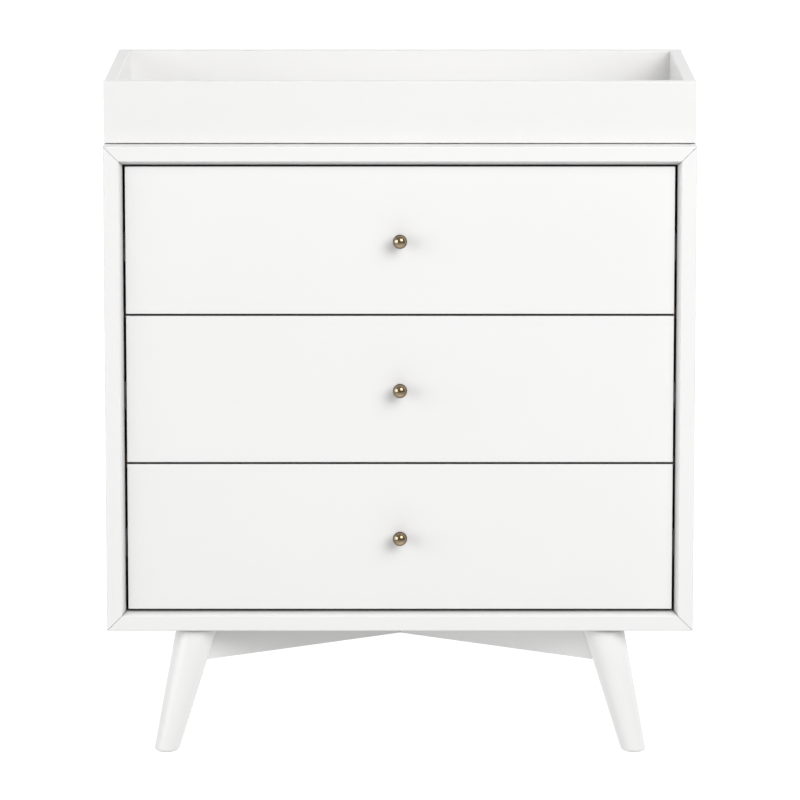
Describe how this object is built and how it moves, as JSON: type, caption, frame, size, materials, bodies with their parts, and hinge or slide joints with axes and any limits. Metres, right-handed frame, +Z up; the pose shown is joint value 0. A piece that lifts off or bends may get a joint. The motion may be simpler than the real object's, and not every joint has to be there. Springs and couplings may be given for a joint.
{
  "type": "changing table",
  "caption": "White dresser with inset drawers and ball knobs on splayed legs, with a cross brace and an open changing tray that lifts off the top.",
  "frame": {"origin": "on the floor, below the middle of the outer box", "axes": "+Z up; the drawers open towards -Y; +X to the right as seen from the front"},
  "size_m": [0.876, 0.501, 1.01],
  "materials": {
    "lacquer": "white satin lacquer, sprayed smooth",
    "drawer_wood": "clear-coated birch, fine straight grain",
    "zinc_steel": "zinc-plated sheet steel",
    "knob_metal": "antique brass, polished and lightly darkened"
  },
  "bodies": {
    "case": {"top_panel": "lacquer", "bottom_panel": "lacquer", "side_panel_left": "lacquer", "side_panel_right": "lacquer", "back_panel": "lacquer", "cross_brace_a": "lacquer", "cross_brace_b": "lacquer", "front_rail_lower": "drawer_wood", "front_rail_upper": "drawer_wood", "leg_front_left": "lacquer", "leg_plate_front_left": "zinc_steel", "leg_front_right": "lacquer", "leg_plate_front_right": "zinc_steel", "leg_rear_left": "lacquer", "leg_plate_rear_left": "zinc_steel", "leg_rear_right": "lacquer", "leg_plate_rear_right": "zinc_steel", "slide_cabinet_bottom_left": "zinc_steel", "slide_cabinet_bottom_right": "zinc_steel", "slide_cabinet_middle_left": "zinc_steel", "slide_cabinet_middle_right": "zinc_steel", "slide_cabinet_top_left": "zinc_steel", "slide_cabinet_top_right": "zinc_steel"},
    "drawer_bottom": {"drawer_front_bottom": "lacquer", "drawer_side_bottom_left": "drawer_wood", "drawer_side_bottom_right": "drawer_wood", "drawer_back_bottom": "drawer_wood", "drawer_bottom_bottom": "drawer_wood", "knob_bottom": "knob_metal", "slide_drawer_bottom_left": "zinc_steel", "slide_drawer_bottom_right": "zinc_steel"},
    "slides_bottom": {"slide_middle_bottom_left": "zinc_steel", "slide_middle_bottom_right": "zinc_steel"},
    "drawer_middle": {"drawer_front_middle": "lacquer", "drawer_side_middle_left": "drawer_wood", "drawer_side_middle_right": "drawer_wood", "drawer_back_middle": "drawer_wood", "drawer_bottom_middle": "drawer_wood", "knob_middle": "knob_metal", "slide_drawer_middle_left": "zinc_steel", "slide_drawer_middle_right": "zinc_steel"},
    "slides_middle": {"slide_middle_middle_left": "zinc_steel", "slide_middle_middle_right": "zinc_steel"},
    "drawer_top": {"drawer_front_top": "lacquer", "drawer_side_top_left": "drawer_wood", "drawer_side_top_right": "drawer_wood", "drawer_back_top": "drawer_wood", "drawer_bottom_top": "drawer_wood", "knob_top": "knob_metal", "slide_drawer_top_left": "zinc_steel", "slide_drawer_top_right": "zinc_steel"},
    "slides_top": {"slide_middle_top_left": "zinc_steel", "slide_middle_top_right": "zinc_steel"},
    "tray": {"tray_wall_front": "lacquer", "tray_wall_rear": "lacquer", "tray_wall_left": "lacquer", "tray_wall_right": "lacquer", "tray_floor": "lacquer", "tray_bracket_left": "zinc_steel", "tray_bracket_right": "zinc_steel"}
  },
  "joints": [
    {"name": "drawer_bottom_slide", "type": "slide", "parent": "case", "child": "drawer_bottom", "axis": [0, -1, 0], "range_m": [0, 0.33]},
    {"name": "slides_bottom_slide", "type": "slide", "parent": "case", "child": "slides_bottom", "axis": [0, -1, 0], "range_m": [0, 0.165]},
    {"name": "drawer_middle_slide", "type": "slide", "parent": "case", "child": "drawer_middle", "axis": [0, -1, 0], "range_m": [0, 0.33]},
    {"name": "slides_middle_slide", "type": "slide", "parent": "case", "child": "slides_middle", "axis": [0, -1, 0], "range_m": [0, 0.165]},
    {"name": "drawer_top_slide", "type": "slide", "parent": "case", "child": "drawer_top", "axis": [0, -1, 0], "range_m": [0, 0.33]},
    {"name": "slides_top_slide", "type": "slide", "parent": "case", "child": "slides_top", "axis": [0, -1, 0], "range_m": [0, 0.165]},
    {"name": "tray_lift", "type": "slide", "parent": "case", "child": "tray", "axis": [0, 0, 1], "range_m": [0, 0.15]}
  ],
  "couplings": [
    {"joint": "slides_bottom_slide", "follows": "drawer_bottom_slide", "ratio": 0.5},
    {"joint": "slides_middle_slide", "follows": "drawer_middle_slide", "ratio": 0.5},
    {"joint": "slides_top_slide", "follows": "drawer_top_slide", "ratio": 0.5}
  ]
}
